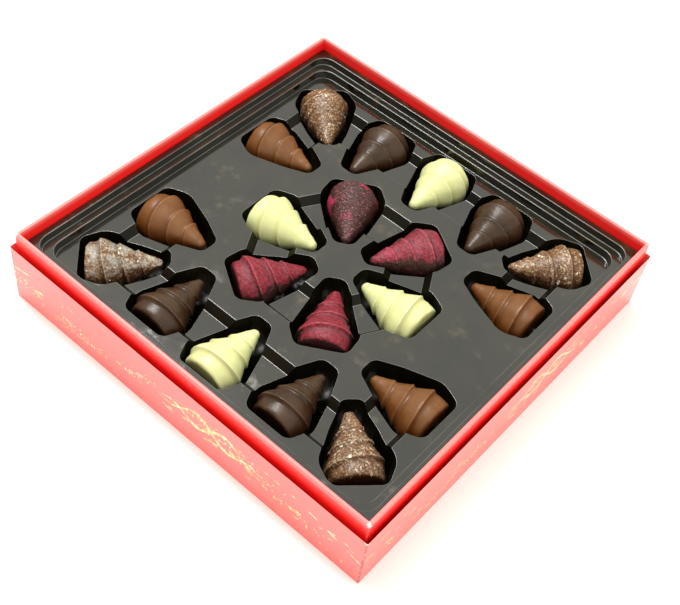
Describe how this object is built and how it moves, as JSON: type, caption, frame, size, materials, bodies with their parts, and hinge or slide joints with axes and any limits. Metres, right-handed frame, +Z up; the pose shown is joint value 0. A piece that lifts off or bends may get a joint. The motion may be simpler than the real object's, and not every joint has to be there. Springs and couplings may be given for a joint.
{
  "type": "box of chocolate pralines",
  "caption": "Open square red cardboard box with a taller inner collar and a dark moulded tray that holds a cone-shaped spiral chocolate praline in each pocket.",
  "frame": {"origin": "middle of the box's underside, on the surface it rests on", "axes": "+Z up out of the open box; +X and +Y along the sides of the square box; seen from the picture's camera, +X points to the right and away, +Y to the left and away"},
  "size_m": [0.215, 0.215, 0.0432],
  "materials": {
    "red_wrap": "smooth wrapped board, coral red, satin",
    "collar_red": "smooth wrapped board, bright red, satin",
    "brown_plastic": "thin moulded tray, very dark brown, glossy",
    "white_chocolate": "pale cream, soft sheen",
    "milk_chocolate": "warm brown, soft sheen",
    "dark_chocolate": "near-black brown, waxy sheen",
    "speckled_chocolate": "brown with a frosting of pale crystals",
    "raspberry_chocolate": "crimson, dusted, rough"
  },
  "bodies": {
    "root": {"box_base": "red_wrap", "box_collar": "collar_red", "tray": "brown_plastic", "praline_white_1": "white_chocolate", "praline_white_2": "white_chocolate", "praline_white_3": "white_chocolate", "praline_white_4": "white_chocolate", "praline_milk_1": "milk_chocolate", "praline_milk_2": "milk_chocolate", "praline_milk_3": "milk_chocolate", "praline_milk_4": "milk_chocolate", "praline_dark_1": "dark_chocolate", "praline_dark_2": "dark_chocolate", "praline_dark_3": "dark_chocolate", "praline_dark_4": "dark_chocolate", "praline_speckled_1": "speckled_chocolate", "praline_speckled_2": "speckled_chocolate", "praline_speckled_3": "speckled_chocolate", "praline_speckled_4": "speckled_chocolate", "praline_raspberry_1": "raspberry_chocolate", "praline_raspberry_2": "raspberry_chocolate", "praline_raspberry_3": "raspberry_chocolate", "praline_raspberry_4": "raspberry_chocolate"}
  },
  "joints": []
}
